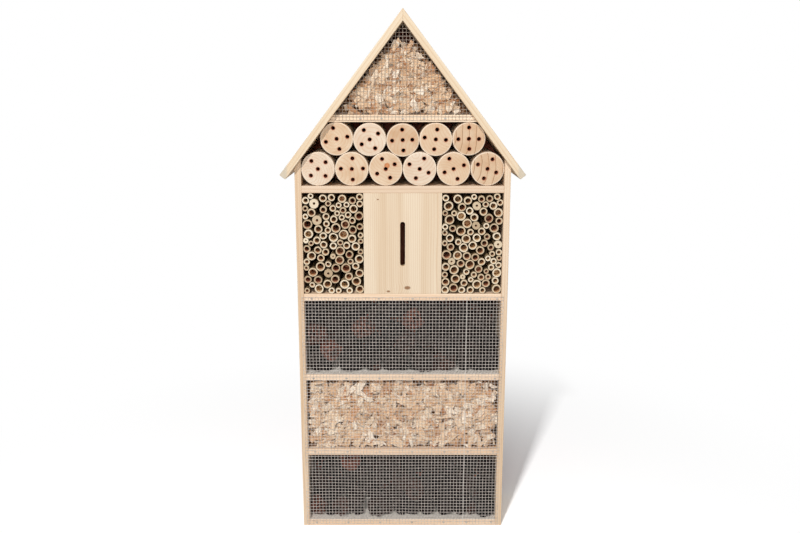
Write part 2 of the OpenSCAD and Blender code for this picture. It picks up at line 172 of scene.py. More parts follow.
class Finish(Shading):
    """A material, with the patterns that its surface can have."""

    def __init__(self, name, roughness=0.6, metallic=0.0, specular=0.25):
        self.material = bpy.data.materials.new(name)
        self.material.use_nodes = True
        super().__init__(self.material.node_tree)
        self.shader = self.tree.nodes["Principled BSDF"]
        self.shader.inputs["Roughness"].default_value = roughness
        self.shader.inputs["Metallic"].default_value = metallic
        self.shader.inputs["Specular IOR Level"].default_value = specular

    def point(self, centre=(0, 0, 0), turn=0.0):
        """Object coordinates about a centre, turned about Y."""
        place = self.node("TexCoord", output="Object")
        place = self.node("VectorMath", {"operation": "SUBTRACT"}, {0: place, 1: centre})
        return self.node("Mapping", {}, {"Vector": place, "Rotation": (0, turn, 0)})

    def stretched(self, point, scale):
        return self.node("VectorMath", {"operation": "MULTIPLY"}, {0: point, 1: scale})

    def shifted(self, point, step):
        return self.node("VectorMath", {"operation": "ADD"}, {0: point, 1: step})

    def drifted(self, point, draw):
        """A point shifted at random, so that no two boards or logs share a pattern."""
        return self.shifted(point, [draw.uniform(0, PATTERN_DRIFT) for _ in range(3)])

    def distance(self, point, centre, plane=(1, 1, 1)):
        """How far a point lies from a centre, along the axes that count."""
        apart = self.stretched(self.shifted(point, [-c for c in centre]), plane)
        return self.node("VectorMath", {"operation": "LENGTH"}, {0: apart}, output="Value")

    def clouds(self, point, per_metre, detail=2.0):
        """Noise from 0 to 1, with the number of clouds per metre along each axis."""
        point = self.stretched(point, per_metre)
        return self.node("TexNoise", {}, {"Vector": point, "Scale": 1.0, "Detail": detail})

    def rings(self, radius, pitch):
        """Growth rings, each from 0 on its inner side to 1 on its outer side."""
        return (radius / pitch).maths("FRACT")

    def mask(self, value, low, high):
        """0 below the low value, 1 above the high one, with a smooth step between."""
        return self.node("MapRange", {"interpolation_type": "SMOOTHSTEP"}, {
            "Value": value, "From Min": low, "From Max": high})

    def blend(self, share, under, over, how="MIX"):
        """One colour laid over another by a share from 0 to 1."""
        return self.node("Mix", {"data_type": "RGBA", "blend_type": how}, {
            MIX_SHARE: share, MIX_UNDER: under, MIX_OVER: over}, output=MIX_RESULT)

    def ramp(self, share, *stops):
        return self.node("ValToRGB", {"stops": stops}, {"Fac": share})

    def attribute(self, name):
        return self.node("Attribute", {"attribute_name": name}, output="Fac")

    def surface(self, colour, roughness=None, height=None, relief=None):
        """Feed the shader and give the finished material. A height has its relief in metres."""
        self.tree.links.new(colour.socket, self.shader.inputs["Base Color"])
        if roughness is not None:
            self.tree.links.new(roughness.socket, self.shader.inputs["Roughness"])
        if height is not None:
            bump = self.node("Bump", {}, {"Height": height, "Distance": relief}, output="Normal")
            self.tree.links.new(bump.socket, self.shader.inputs["Normal"])
        return self.material


# Finishes of the timber

# The axes that count in a distance
ACROSS_GRAIN = (0, 1, 1)
FRONT_PLANE = (1, 0, 1)
SIDEWAYS = (1, 0, 0)

# Fir's rings, the places of their heart, knots, and how far in from its end an eave is greyed
FIR_RING = 3.6 * MM
FIR_SWAY = 14 * MM
HEART_DEPTHS = -25 * MM, 25 * MM
HEART_OFFSETS = 35 * MM, 80 * MM
KNOT_PLANE = (0.6, 0, 1)
KNOT_REACH = 4
KNOT_SWELL = 5 * MM
GREY_EAVE_EDGE = 17 * MM, 11 * MM
LATE_WOOD = rgb(222, 178, 128)
KNOT_BROWN = rgb(128, 84, 46)
END_GRAIN = rgb(196, 160, 116)
GREY_EAVE_TONE = rgb(196, 186, 168)
PAINTED_TOP_LIGHT = rgb(250, 245, 236)


def fir(node, turn, tones, seed, knots=(), grey_eave=False, lit_tops=False):
    """Planed fir with its grain along X once turned about Y. A knot is its X, its Z and its radius."""
    draw = random.Random(seed)
    low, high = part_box(node)
    pale, tan = tones
    finish = Finish(f"fir_{node}")
    flat = finish.point()
    grain = finish.point(turn=turn)
    drift = finish.drifted(grain, draw)
    heart = Matrix.Rotation(turn, 3, "Y") @ ((low + high) / 2)
    heart.y += draw.uniform(*HEART_DEPTHS)
    heart.z += draw.choice((-1, 1)) * draw.uniform(*HEART_OFFSETS)

    sway = finish.clouds(drift, per_metre=(2.5, 10, 10))
    radius = finish.distance(grain, heart, ACROSS_GRAIN) + sway * FIR_SWAY
    spots = []
    for x, z, size in knots:
        away = finish.distance(flat, (x, 0, z), KNOT_PLANE)
        radius = radius + (1 - finish.mask(away, 0, KNOT_REACH * size)) * KNOT_SWELL
        spots.append(1 - finish.mask(away, 0.5 * size, size))
    ring = finish.rings(radius, FIR_RING)
    fibre = finish.clouds(drift, per_metre=(14, 700, 700), detail=3)
    streak = finish.clouds(drift, per_metre=(2, 60, 60), detail=3)

    colour = finish.ramp(streak, (0.32, tan), (0.62, pale))
    late = finish.blend(1.0, tan, LATE_WOOD, "MULTIPLY")
    colour = finish.blend(ring ** 4 * 0.4, colour, late)
    colour = finish.blend(finish.mask(fibre, 0.5, 0.85) * 0.35, colour, tan)
    if spots:
        colour = finish.blend(highest(spots) * 0.85, colour, KNOT_BROWN)
    normal = finish.node("TexCoord", output="Normal")
    axis = (math.cos(turn), 0, math.sin(turn))
    facing = finish.node("VectorMath", {"operation": "DOT_PRODUCT"}, {0: normal, 1: axis}, output="Value")
    end_grain = finish.mask(facing.maths("ABSOLUTE"), 0.75, 0.95)
    colour = finish.blend(end_grain * 0.6, colour, END_GRAIN)
    if grey_eave:
        # The eave ends are greyer over their last few millimetres
        across = finish.distance(flat, (0, 0, 0), SIDEWAYS)
        greyed = finish.mask(across, *[eave_x - inset for inset in GREY_EAVE_EDGE])
        colour = finish.blend(greyed * 0.75, colour, GREY_EAVE_TONE)
    if lit_tops:
        # Up-facing faces are made paler: painted light from above on the shelf tops
        up = finish.node("SeparateXYZ", {}, {0: normal}, output="Z")
        colour = finish.blend(finish.mask(up, 0.8, 0.95) * 0.85, colour, PAINTED_TOP_LIGHT)
    return finish.surface(colour, 0.5 + 0.2 * fibre, fibre + ring * 0.4, relief=0.12 * MM)


PLYWOOD_BANDS = [(0.3, rgb(142, 74, 58)), (0.55, rgb(166, 92, 71)), (0.75, rgb(182, 110, 84))]
PLYWOOD_PORE = rgb(92, 42, 32)


def plywood():
    """Thin red-brown plywood with long open pores up its height."""
    finish = Finish("red_plywood")
    point = finish.point()
    bands = finish.clouds(point, per_metre=(22, 22, 1.2), detail=3)
    pores = finish.clouds(point, per_metre=(900, 900, 22))
    colour = finish.ramp(bands, *PLYWOOD_BANDS)
    colour = finish.blend(finish.mask(pores, 0.56, 0.7) * 0.55, colour, PLYWOOD_PORE)
    return finish.surface(colour, 0.6 + 0.25 * pores, pores, relief=0.1 * MM)


# A log's rings, and distances from its edge and from the middles of its knot and its drilled holes
LOG_RINGS = 4.5 * MM, 7.5 * MM
BOLD_RING = 13 * MM
LOG_SWAY = 9 * MM
LOG_RIM_EDGE = 2.6 * MM, 0.8 * MM
LOG_KNOT_EDGE = 4 * MM, 6 * MM
LOG_KNOT_HEART_EDGE = 1.2 * MM, 2.6 * MM
BORED_EDGE = 3.55 * MM, 3.75 * MM
SCORCHED_EDGE = 3.8 * MM, 5.6 * MM
HOLE_ROOM = 4 * MM
HOLE_ACROSS = 8 * MM
LOG_RING_TONE = rgb(196, 142, 96)
BOLD_LINE = rgb(112, 70, 40)
LOG_GRIT = rgb(206, 164, 124)
LOG_KNOT = rgb(190, 118, 70)
LOG_KNOT_HEART = rgb(208, 148, 102)
LOG_RIM = rgb(243, 226, 206)
SCORCHED = rgb(186, 110, 78)
BORED = rgb(198, 126, 96)


def hole_centres(node):
    """Middles of the holes in a log's front face, found from the rims that lie inside it."""
    low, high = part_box(node)
    middle = (low + high) / 2
    reach = (high.x - low.x) / 2 - HOLE_ROOM
    rims = []
    for vert in nodes[node].data.vertices:
        from_middle = math.hypot(vert.co.x - middle.x, vert.co.z - middle.z)
        if vert.co.y - low.y > WELD or from_middle > reach:
            continue
        same = [rim for rim in rims if (rim[0] - vert.co).length < HOLE_ACROSS]
        if same:
            same[0].append(vert.co.copy())
        else:
            rims.append([vert.co.copy()])
    return [sum(span(rim), Vector()) / 2 for rim in rims]


def log_end(node, heart, tones, seed, knot=None, bold=False):
    """A sawn log: rings round the heart, a pale rim and holes with scorched edges.
    Bold rings have dark lines. The heart and a knot are given from the log's middle, in X and Z."""
    draw = random.Random(seed)
    low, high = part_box(node)
    middle = (low + high) / 2
    edge = (high.x - low.x) / 2
    pale, tan = tones
    finish = Finish(f"{node}_sawn")
    point = finish.point(middle)
    drift = finish.drifted(point, draw)
    sway = finish.clouds(drift, per_metre=(30, 4, 30))
    from_heart = finish.distance(point, (heart[0], 0, heart[1]), FRONT_PLANE) + sway * LOG_SWAY
    ring = finish.rings(from_heart, BOLD_RING if bold else draw.uniform(*LOG_RINGS))
    patch = finish.clouds(drift, per_metre=(38, 6, 38), detail=3)
    grit = finish.clouds(drift, per_metre=(900, 60, 900))

    colour = finish.ramp(patch, (0.3, tan), (0.65, pale))
    colour = finish.blend(ring ** 6 * 0.5, colour, LOG_RING_TONE)
    if bold:
        colour = finish.blend(finish.mask(ring, 0.9, 0.96) * 0.7, colour, BOLD_LINE)
    colour = finish.blend(finish.mask(grit, 0.52, 0.8) * 0.3, colour, LOG_GRIT)
    if knot:
        away = finish.distance(point, (knot[0], 0, knot[1]), FRONT_PLANE)
        colour = finish.blend((1 - finish.mask(away, *LOG_KNOT_EDGE)) * 0.95, colour, LOG_KNOT)
        colour = finish.blend((1 - finish.mask(away, *LOG_KNOT_HEART_EDGE)) * 0.6, colour, LOG_KNOT_HEART)
    from_middle = finish.distance(point, (0, 0, 0), FRONT_PLANE)
    rim = finish.mask(from_middle, *[edge - inset for inset in LOG_RIM_EDGE])
    colour = finish.blend(rim * 0.7, colour, LOG_RIM)
    nearest = lowest([finish.distance(point, hole - middle, FRONT_PLANE) for hole in hole_centres(node)])
    colour = finish.blend((1 - finish.mask(nearest, *SCORCHED_EDGE)) * 0.55, colour, SCORCHED)
    colour = finish.blend(1 - finish.mask(nearest, *BORED_EDGE), colour, BORED)
    return finish.surface(colour, 0.55 + 0.2 * grit, grit + ring * 0.5, relief=0.1 * MM)


# Finishes of the fillings, each from its darkest tone to its palest

CANE_SKINS = [(0.0, rgb(112, 92, 66)), (0.5, rgb(146, 122, 88)), (1.0, rgb(172, 148, 112))]
CANE_ENDS = [(0.0, rgb(182, 159, 128)), (0.45, rgb(212, 192, 162)), (1.0, rgb(232, 217, 192))]
CANE_BORES = [(0.0, rgb(190, 124, 92)), (0.5, rgb(222, 180, 134)), (1.0, rgb(240, 214, 172))]
SKIN_STREAK = rgb(84, 64, 42)
END_DOT = rgb(150, 118, 78)
BORE_STREAK = rgb(128, 84, 56)


def cane_skin():
    """The skin of a cane, streaked along its length."""
    finish = Finish("cane_skin", specular=0.4)
    streak = finish.clouds(finish.point(), per_metre=(400, 6, 400), detail=3)
    colour = finish.ramp(finish.attribute("tone"), *CANE_SKINS)
    colour = finish.blend(finish.mask(streak, 0.45, 0.75) * 0.4, colour, SKIN_STREAK)
    return finish.surface(colour, 0.35 + 0.2 * streak)


def cane_end():
    """A cane's sawn end, dotted with cut fibres."""
    finish = Finish("cane_end", roughness=0.75)
    dots = finish.clouds(finish.point(), per_metre=(1500, 60, 1500), detail=1)
    colour = finish.ramp(finish.attribute("tone"), *CANE_ENDS)
    colour = finish.blend(finish.mask(dots, 0.5, 0.75) * 0.5, colour, END_DOT)
    return finish.surface(colour, height=dots, relief=0.15 * MM)


def cane_bore():
    """The inner wall of a cane."""
    finish = Finish("cane_bore", roughness=0.8)
    streak = finish.clouds(finish.point(), per_metre=(300, 10, 300))
    colour = finish.ramp(finish.attribute("tone"), *CANE_BORES)
    colour = finish.blend(finish.mask(streak, 0.45, 0.8) * 0.5, colour, BORE_STREAK)
    return finish.surface(colour)


# Scale roots are near black: painted shade between the crowded scales
SHADED_CONE_ROOTS = [(0.0, rgb(8, 6, 6)), (0.6, rgb(15, 10, 8)), (1.0, rgb(40, 20, 15))]
CONE_TIPS = [(0.0, rgb(20, 17, 17)), (0.6, rgb(44, 31, 27)), (1.0, rgb(138, 82, 66))]
CONE_GRIT = rgb(26, 18, 16)


def cone_scale():
    """A pine cone's scales, near black at the root as painted shade between the scales, and browner at the
    tip.
    """
    finish = Finish("cone_scale", roughness=0.75)
    tone = finish.attribute("tone")
    grit = finish.clouds(finish.point(), per_metre=(500, 500, 500))
    shaded_roots = finish.ramp(tone, *SHADED_CONE_ROOTS)
    tips = finish.ramp(tone, *CONE_TIPS)
    colour = finish.blend(finish.attribute("tip"), shaded_roots, tips)
    colour = finish.blend(finish.mask(grit, 0.45, 0.75) * 0.5, colour, CONE_GRIT)
    return finish.surface(colour, height=grit, relief=0.3 * MM)


CHIP_TONES = [
    (0.0, rgb(190, 138, 96)), (0.16, rgb(214, 170, 130)), (0.4, rgb(232, 198, 160)),
    (0.65, rgb(240, 214, 182)), (0.85, rgb(248, 230, 204)), (1.0, rgb(253, 241, 222))]
CHIP_STREAK = rgb(196, 150, 108)
CHIP_DRIFT = 37, 53


def chip_wood():
    """Split wood, with its grain along each chip's own length. A chip's tone also shifts its grain."""
    finish = Finish("chip_wood")
    tone = finish.attribute("tone")
    offset = finish.node("CombineXYZ", {}, {axis: tone * drift for axis, drift in enumerate(CHIP_DRIFT)})
    along = finish.shifted(finish.node("UVMap", {"uv_map": "grain"}), offset)
    streak = finish.clouds(along, per_metre=(60, 900, 1), detail=3)
    colour = finish.ramp(tone, *CHIP_TONES)
    dark = finish.blend(1.0, colour, CHIP_STREAK, "MULTIPLY")
    colour = finish.blend(finish.mask(streak, 0.42, 0.72) * 0.75, colour, dark)
    return finish.surface(colour, 0.6 + 0.25 * streak, streak, relief=0.25 * MM)


# The heap's tones, darker than the loose chips: painted shade
SHADED_PACKED_TONES = [(0.0, rgb(112, 74, 44)), (0.6, rgb(160, 116, 76)), (1.0, rgb(188, 148, 104))]
PACKED_STREAK = rgb(104, 68, 42)
PACKED_GAP_SHADE = rgb(42, 24, 16)
PACKED_PER_METRE = (150, 150, 240)


def packed_chips():
    """The mass of chips seen through the gaps between the front ones. Its darker tones and its near-black
    gaps between cells are painted shade.
    """
    finish = Finish("packed_chips", roughness=0.8)
    point = finish.point()
    cells = {"Vector": finish.stretched(point, PACKED_PER_METRE), "Scale": 1.0}
    cell_colour = finish.node("TexVoronoi", {}, cells, output="Color")
    tone = finish.node("SeparateColor", {}, {0: cell_colour})
    gap = finish.node("TexVoronoi", {"feature": "DISTANCE_TO_EDGE"}, cells)
    streak = finish.clouds(point, per_metre=(700, 700, 160))
    colour = finish.ramp(tone, *SHADED_PACKED_TONES)
    colour = finish.blend(finish.mask(streak, 0.4, 0.75) * 0.5, colour, PACKED_STREAK)
    # Near-black gaps between the cells: painted shade between the chips
    colour = finish.blend(1 - finish.mask(gap, 0.0, 0.12), colour, PACKED_GAP_SHADE)
    return finish.surface(colour, height=gap, relief=1.5 * MM)


# Finish of the metal

SEAM_EDGE = 1.2 * MM, 2.0 * MM
SEAM_HIGHLIGHT = rgb(214, 206, 198)
DULL_SHARE = 0.65


def zinc(name, shade, metallic):
    """Dull galvanised steel with a faint spangle, and a painted highlight where two sheets of mesh meet."""
    finish = Finish(name, metallic=metallic, specular=0.5)
    point = finish.point()
    spangle = finish.clouds(point, per_metre=(260, 260, 260))
    dull = [step * DULL_SHARE for step in shade[:3]] + [1.0]
    colour = finish.ramp(spangle, (0.35, dull), (0.65, shade))
    from_seam = finish.distance(point, (seam_x, 0, 0), SIDEWAYS)
    # A painted highlight along the seam, where the doubled wires catch the light
    colour = finish.blend(1 - finish.mask(from_seam, *SEAM_EDGE), colour, SEAM_HIGHLIGHT)
    return finish.surface(colour, 0.4 + 0.25 * spangle)


# Modelling

def piece(name, form, materials, node, smooth=True):
    """Turn a bmesh into a piece of the object that stands for one of its nodes."""
    mesh = bpy.data.meshes.new(name)
    form.to_mesh(mesh)
    form.free()
    for material in materials:
        mesh.materials.append(material)
    if smooth:
        mesh.shade_smooth()
        mesh.set_sharp_from_angle(angle=SHARP)
    made = bpy.data.objects.new(name, mesh)
    bpy.context.scene.collection.objects.link(made)
    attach(made, "root")
    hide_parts(node)
    return made


def dress(node, material):
    """Give a node that stays in view its finish."""
    nodes[node].data.materials.clear()
    nodes[node].data.materials.append(material)


def merged(node):
    """A copy of a node's mesh, with its loose triangles joined."""
    form = bmesh.new()
    form.from_mesh(nodes[node].data)
    bmesh.ops.remove_doubles(form, verts=form.verts, dist=WELD)
    return form


def join_flat(form):
    """Make one face of the triangles that lie in one plane."""
    bmesh.ops.dissolve_limit(form, angle_limit=FLAT, verts=form.verts, edges=form.edges)


def solids(node):
    """The separate solids of a node, each as its corners, from the left and the bottom up."""
    form = merged(node)
    waiting = set(form.verts)
    found = []
    while waiting:
        group = [waiting.pop()]
        for vert in group:
            linked = {edge.other_vert(vert) for edge in vert.link_edges} & waiting
            waiting -= linked
            group.extend(linked)
        found.append([vert.co.copy() for vert in group])
    form.free()
    return sorted(found, key=lambda corners: [round(c, 5) for c in span(corners)[0]])


EDGE_ROUND = 0.7 * MM


def ease_edges(form):
    """Round the edges where two faces meet at a corner."""
    sharp = [edge for edge in form.edges if edge.is_manifold and edge.calc_face_angle() > SHARP]
    bmesh.ops.bevel(
        form, geom=sharp, offset=EDGE_ROUND, segments=2, profile=0.5, affect="EDGES", material=-1)


def planed_board(node, material):
    """A board with eased edges, closed over the holes of its nails."""
    form = bmesh.new()
    form.from_mesh(nodes[node].data)
    hull = bmesh.ops.convex_hull(form, input=form.verts)
    kept = {part for part in hull["geom"] if isinstance(part, bmesh.types.BMFace)}
    bmesh.ops.delete(form, geom=[face for face in form.faces if face not in kept], context="FACES_ONLY")
    bmesh.ops.delete(form, geom=[edge for edge in form.edges if not edge.link_faces], context="EDGES")
    bmesh.ops.delete(form, geom=[vert for vert in form.verts if not vert.link_faces], context="VERTS")
    bmesh.ops.remove_doubles(form, verts=form.verts, dist=WELD)
    join_flat(form)
    ease_edges(form)
    return piece(node + "_planed", form, [material], node, smooth=False)


def slotted_board(node, material):
    """The butterfly board, with its slot's rim eased."""
    form = merged(node)
    join_flat(form)
    ease_edges(form)
    return piece(node + "_planed", form, [material], node, smooth=False)


def extended(form, edges, step, scale=1.0, centre=None):
    """Extrude a ring of edges, move and scale it about the Y axis through a centre. Gives the new ring."""
    made = bmesh.ops.extrude_edge_only(form, edges=edges)["geom"]
    verts = [part for part in made if isinstance(part, bmesh.types.BMVert)]
    bmesh.ops.translate(form, vec=step, verts=verts)
    if scale != 1.0:
        bmesh.ops.scale(form, vec=(scale, 1, scale), space=Matrix.Translation(-centre), verts=verts)
    return [part for part in made if isinstance(part, bmesh.types.BMEdge)]


# A cane's shape. Shares are of its radius or of its wall, and the slant of its front is a slope.
CANE_SIDES = 20
CANE_EASE = 0.35 * MM
CANE_KNOTS = 22 * MM, 95 * MM
PITH_SHARE = 0.28
BORE_LEAN = 0.22
BORE_TAPERS = 0.85, 1.0
MOST_OVAL = 0.06
MOST_DENT = 0.02
MOST_SLANT = 0.1
SKIN, END, BORE = range(3)


def cane(form, corners, tone, draw):
    """One sawn cane, a little oval and cut a little askew, with a bore that stops at a knot."""
    low, high = span(corners)
    centre = (low + high) / 2
    outer = (high.x - low.x) / 2
    inner = max(min(math.hypot(c.x - centre.x, c.z - centre.z) for c in corners), PITH_SHARE * outer)
    first_face = len(form.faces)
    first_vert = len(form.verts)
    back = Matrix.Translation((centre.x, high.y, centre.z)) @ Matrix.Rotation(math.pi / 2, 4, "X")
    ring = bmesh.ops.create_circle(
        form, cap_ends=True, segments=CANE_SIDES, radius=outer, matrix=back)["verts"]
    edges = list(dict.fromkeys(edge for vert in ring for edge in vert.link_edges))
    knot_depth = draw.uniform(*CANE_KNOTS)
    lean = Vector((draw.uniform(-1, 1), 0, draw.uniform(-1, 1))) * (BORE_LEAN * (outer - inner))
    edges = extended(form, edges, (0, low.y - high.y + CANE_EASE, 0))
    edges = extended(form, edges, (0, -CANE_EASE, 0), 1 - CANE_EASE / outer, centre)
    edges = extended(form, edges, lean, inner / (outer - CANE_EASE), centre)
    edges = extended(form, edges, (0, knot_depth, 0), draw.uniform(*BORE_TAPERS), centre + lean)
    bmesh.ops.edgeloop_fill(form, edges=edges)

    form.verts.ensure_lookup_table()
    form.faces.ensure_lookup_table()
    oval = draw.uniform(0.0, MOST_OVAL)
    dent = draw.uniform(0.0, MOST_DENT)
    phase = draw.uniform(0, math.tau)
    slant = [draw.uniform(-MOST_SLANT, MOST_SLANT) for _ in range(2)]
    for vert in form.verts[first_vert:]:
        off = vert.co - centre
        angle = math.atan2(off.z, off.x)
        squeeze = 1 - oval * math.cos(angle - phase) ** 2 - dent * (1 + math.sin(3 * angle + phase)) / 2
        vert.co.x = centre.x + off.x * squeeze
        vert.co.z = centre.z + off.z * squeeze
        if vert.co.y < low.y + knot_depth / 2:
            vert.co.y += slant[0] * off.x + slant[1] * off.z
    bands = [END] + [SKIN] * CANE_SIDES + [END] * 2 * CANE_SIDES + [BORE] * (CANE_SIDES + 1)
    layer = form.faces.layers.float["tone"]
    for face, band in zip(form.faces[first_face:], bands):
        face.material_index = band
        face[layer] = tone


def cane_course(node, materials, seed):
    """The canes of one course, each in the place of one of the node's solids."""
    draw = random.Random(seed)
    form = bmesh.new()
    form.faces.layers.float.new("tone")
    for corners in solids(node):
        cane(form, corners, draw.random(), draw)
    bmesh.ops.recalc_face_normals(form, faces=form.faces)
    return piece(node + "_sawn", form, materials, node)


# The mesh's wires and bends. Sways and ripples are counted per metre.
WIRE_SIDES = 6
WIRE_CUTS = 17
LONG_EDGE = 4 * MM
SLACK_REACH = 30 * MM
SWAYS = 14
RIPPLES_ACROSS, RIPPLES_UP = 5, 30
RIPPLE_SHIFT = 40
SWAY_ASIDE = 0.8 * MM
SWAY_IN = 1.6 * MM
SWAY_UP = 0.5 * MM
RIPPLE_UP = 0.9 * MM


def slack(z):
    """How free the mesh hangs at a height: 0 on a shelf's front, 1 well away from one."""
    away = min(max(low.z - z, z - high.z, 0) for low, high in shelf_boxes)
    return min(away / SLACK_REACH, 1)


def wavy(point):
    """Where a point of the flat mesh lies once the mesh has been bent by handling."""
    sway = noise.noise_vector(Vector((point.x * SWAYS, 0, point.z * SWAYS)))
    ripple = noise.noise_vector(Vector((point.x * RIPPLES_ACROSS + RIPPLE_SHIFT, 0, point.z * RIPPLES_UP)))
    inward = slack(point.z) * (0.5 + sway.y) * SWAY_IN
    return point + Vector((sway.x * SWAY_ASIDE, inward, sway.z * SWAY_UP + ripple.z * RIPPLE_UP))


def wire_net(node, material):
    """A sheet of welded wire: each wire of the node, with the bends of a sheet cut from a roll."""
    form = bmesh.new()
    for corners in solids(node):
        low, high = span(corners)
        size = high - low
        level = size.x > size.z
        turn = Matrix.Rotation(math.pi / 2, 4, "Y") if level else Matrix.Identity(4)
        bmesh.ops.create_cone(
            form, cap_ends=True, segments=WIRE_SIDES, radius1=size.y / 2, radius2=size.y / 2,
            depth=max(size.x, size.z), matrix=Matrix.Translation((low + high) / 2) @ turn)
    long_edges = [edge for edge in form.edges if edge.calc_length() > LONG_EDGE]
    bmesh.ops.subdivide_edges(form, edges=long_edges, cuts=WIRE_CUTS)
    for vert in form.verts:
        vert.co = wavy(vert.co)
    return piece(node + "_welded", form, [material], node)


def any_way(draw):
    """A random turn about all three axes."""
    return Euler([draw.uniform(0, math.tau) for _ in range(3)]).to_matrix().to_4x4()


def shape_mesh(name, form):
    """A mesh made from a bmesh, which is freed."""
    mesh = bpy.data.meshes.new(name)
    form.to_mesh(mesh)
    form.free()
    return mesh


def scattered(form, shape, place, tone):
    """Copy a shape into a bmesh at a place, with a tone on its faces."""
    copy = shape.copy()
    copy.transform(place)
    first_face = len(form.faces)
    form.from_mesh(copy)
    bpy.data.meshes.remove(copy)
    form.faces.ensure_lookup_table()
    layer = form.faces.layers.float["tone"]
    for face in form.faces[first_face:]:
        face[layer] = tone


# A pine cone of unit radius: its core, its swell, and a scale's root, width and thickness
GOLDEN_ANGLE = math.radians(137.5)
CONE_CORE = (0.45, 0.45, 0.8, 1)
CONE_HALF_HEIGHT = 0.95
CONE_WIDEST, CONE_TAPER = 0.36, 0.7
ROOT_REACH, ROOT_RISE, ROOT_DROP = 0.22, 0.7, 0.12
SCALE_WIDTH, SCALE_SPREAD = 0.12, 0.2
SCALE_BASE = 0.45
SCALE_THICK = 0.32
SCALE_STRAY = 0.12


def cone_shape(scales, sides, seed):
    """A pine cone of unit radius about its own middle: a core and scales in a golden spiral."""
    draw = random.Random(seed)
    form = bmesh.new()
    tip = form.verts.layers.float.new("tip")
    bmesh.ops.create_uvsphere(form, u_segments=8, v_segments=5, radius=1, matrix=Matrix.Diagonal(CONE_CORE))
    for k in range(scales):
        share = (k + 0.5) / scales
        height = (2 * share - 1) * CONE_HALF_HEIGHT
        reach = math.sqrt(1 - ((share - CONE_WIDEST) / CONE_TAPER) ** 2) * draw.uniform(0.9, 1.0)
        root = Vector((ROOT_REACH, 0, ROOT_RISE * height - ROOT_DROP))
        end = Vector((reach, 0, height))
        along = (end - root).normalized()
        across = Vector((0, 1, 0))
        turn = Matrix((across.cross(along), across, along)).transposed().to_4x4()
        width = (SCALE_WIDTH + SCALE_SPREAD * reach) * draw.uniform(0.85, 1.1)
        flatten = Matrix.Diagonal((SCALE_THICK, 1, 1, 1))
        spin = Matrix.Rotation(k * GOLDEN_ANGLE + draw.uniform(-SCALE_STRAY, SCALE_STRAY), 4, "Z")
        place = spin @ Matrix.Translation((root + end) / 2) @ turn @ flatten
        made = bmesh.ops.create_cone(
            form, cap_ends=True, segments=sides, radius1=width * SCALE_BASE, radius2=width,
            depth=(end - root).length, matrix=place)["verts"]
        middle = place @ Vector((0, 0, 0))
        outward = (place @ Vector((0, 0, 1)) - middle).normalized()
        for vert in made:
            vert[tip] = 1.0 if (vert.co - middle).dot(outward) > 0 else 0.0
    return shape_mesh("cone_shape", form)


# How cones fill a bay. A power draws their tones towards the dark end.
CONE_CROWDING = 1.08
CONE_ROOM = 5 * MM
CONE_DARKNESS = 1.5
SMALL_CONE_ROOM = 14 * MM
SMALL_CONE_RADII = 11 * MM, 15 * MM
SMALL_CONE_SEAT = 0.8


def cone_layer(node, shapes, material, floor, ceiling, seed, small=0):
    """Pine cones lying every way, each in the place of one of the node's solids, pressed into their bay.
    Small ones lie along the floor between them."""
    draw = random.Random(seed)
    form = bmesh.new()
    form.faces.layers.float.new("tone")
    form.verts.layers.float.new("tip")
    for corners in solids(node):
        low, high = span(corners)
        radius = (high.x - low.x) / 2 * CONE_CROWDING
        place = Matrix.Translation((low + high) / 2) @ any_way(draw) @ Matrix.Scale(radius, 4)
        scattered(form, draw.choice(shapes), place, draw.random() ** CONE_DARKNESS)
    for k in range(small):
        x = (2 * (k + draw.uniform(0.2, 0.8)) / small - 1) * inner_half
        radius = draw.uniform(*SMALL_CONE_RADII)
        at = Vector((x, front_y + SMALL_CONE_ROOM + radius, floor + SMALL_CONE_SEAT * radius))
        place = Matrix.Translation(at) @ any_way(draw) @ Matrix.Scale(radius, 4)
        scattered(form, draw.choice(shapes), place, draw.random() ** CONE_DARKNESS)
    bay_low = Vector((-inner_half, front_y + CONE_ROOM, floor))
    bay_high = Vector((inner_half, inner_back, ceiling))
    for vert in form.verts:
        vert.co = Vector(map(max, bay_low, map(min, bay_high, vert.co)))
    return piece(node + "_scaled", form, [material], node, smooth=False)


# A chip's sizes, and its bends and ragged edges as shares of them
CHIP_LENGTHS = 9 * MM, 32 * MM
CHIP_SLIMNESS = 0.15, 0.7
CHIP_WIDEST = 13 * MM
CHIP_THICKNESSES = 0.5 * MM, 1.6 * MM
MOST_CURL = 0.18
MOST_TWIST = 0.5
MOST_TAPER = 0.5
RAGGED_END = 0.12
RAGGED_SIDES = 0.75, 1.1


def chip_shape(length, width, thick, seed):
    """A ragged chip, bent along its length, lying in X and Y."""
    draw = random.Random(seed)
    form = bmesh.new()
    bmesh.ops.create_grid(form, x_segments=4, y_segments=1, size=0.5)
    curl = draw.uniform(-MOST_CURL, MOST_CURL) * length
    twist = draw.uniform(-MOST_TWIST, MOST_TWIST)
    taper = draw.uniform(-MOST_TAPER, MOST_TAPER)
    for vert in form.verts:
        share = vert.co.x
        at_end = abs(share) > 0.45
        vert.co.x = length * (share + (draw.uniform(-RAGGED_END, RAGGED_END) if at_end else 0))
        vert.co.y *= width * (1 + taper * share) * draw.uniform(*RAGGED_SIDES)
        vert.co.z = curl * (4 * share * share - 1) + twist * share * vert.co.y
    bmesh.ops.recalc_face_normals(form, faces=form.faces)
    bmesh.ops.solidify(form, geom=form.faces[:], thickness=thick)
    bmesh.ops.recalc_face_normals(form, faces=form.faces)
    grain = form.loops.layers.uv.new("grain")
    for face in form.faces:
        for loop in face.loops:
            loop[grain].uv = (loop.vert.co.x, loop.vert.co.y + loop.vert.co.z)
    return shape_mesh("chip_shape", form)


